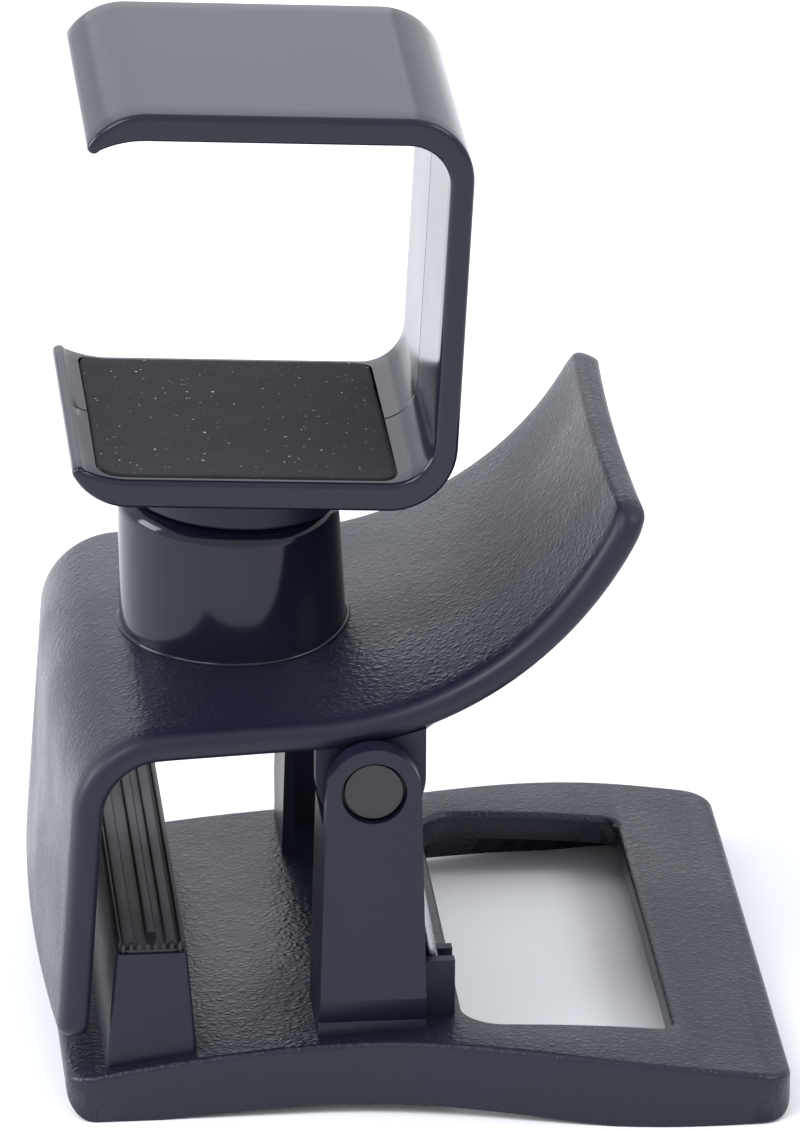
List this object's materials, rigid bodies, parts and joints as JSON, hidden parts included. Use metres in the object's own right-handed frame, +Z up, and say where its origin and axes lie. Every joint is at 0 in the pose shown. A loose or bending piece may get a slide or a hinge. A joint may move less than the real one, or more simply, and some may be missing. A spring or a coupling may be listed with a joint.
{
  "type": "headphone hook",
  "caption": "Black sprung clamp that grips a desk edge, with a padded C-shaped hook that swivels on a turret to hold headphones.",
  "frame": {"origin": "centre of the footprint, on the surface that the clamp stands on", "axes": "+Z up, +X towards the finger end, +Y towards the back; the hinge axis runs along Y"},
  "size_m": [0.1068, 0.0992, 0.1479],
  "materials": {
    "grained_black": "black moulded plastic with a fine leather grain, semi-gloss",
    "satin_black": "smooth satin black moulded plastic",
    "gloss_black": "polished black moulded plastic",
    "pad_rubber": "matte black rubber with moulded ribs",
    "foam_black": "matte black closed-cell foam",
    "black_steel": "satin black coated steel",
    "spring_steel": "bright drawn spring wire"
  },
  "bodies": {
    "base": {"base_plate": "grained_black", "upright_front": "satin_black", "upright_rear": "satin_black", "jaw_block": "satin_black", "jaw_pad": "pad_rubber", "spring_seat_front": "satin_black", "spring_seat_rear": "satin_black", "hinge_pin": "black_steel", "pin_retainer": "black_steel", "spring_front": "spring_steel", "spring_rear": "spring_steel"},
    "lever": {"lever_plate": "grained_black", "ear_front": "satin_black", "ear_rear": "satin_black", "turret_cup": "gloss_black"},
    "hook": {"hook_boss": "satin_black", "hook_shell": "gloss_black", "pad_lower": "foam_black", "pad_upper": "foam_black", "swivel_washer": "black_steel", "swivel_screw": "black_steel"}
  },
  "joints": [
    {"name": "clamp_hinge", "type": "hinge", "parent": "base", "child": "lever", "pos_m": [-0.0074, 0, 0.0502], "axis": [0, 1, 0], "range_deg": [0, 45], "stiffness_Nm_per_rad": 0.9, "springref_deg": -20.05, "deforming": ["spring_front", "spring_rear"]},
    {"name": "hook_swivel", "type": "hinge", "parent": "lever", "child": "hook", "pos_m": [-0.02415, 0, 0.0805], "axis": [0.0506, 0, 0.9987], "continuous": true}
  ]
}
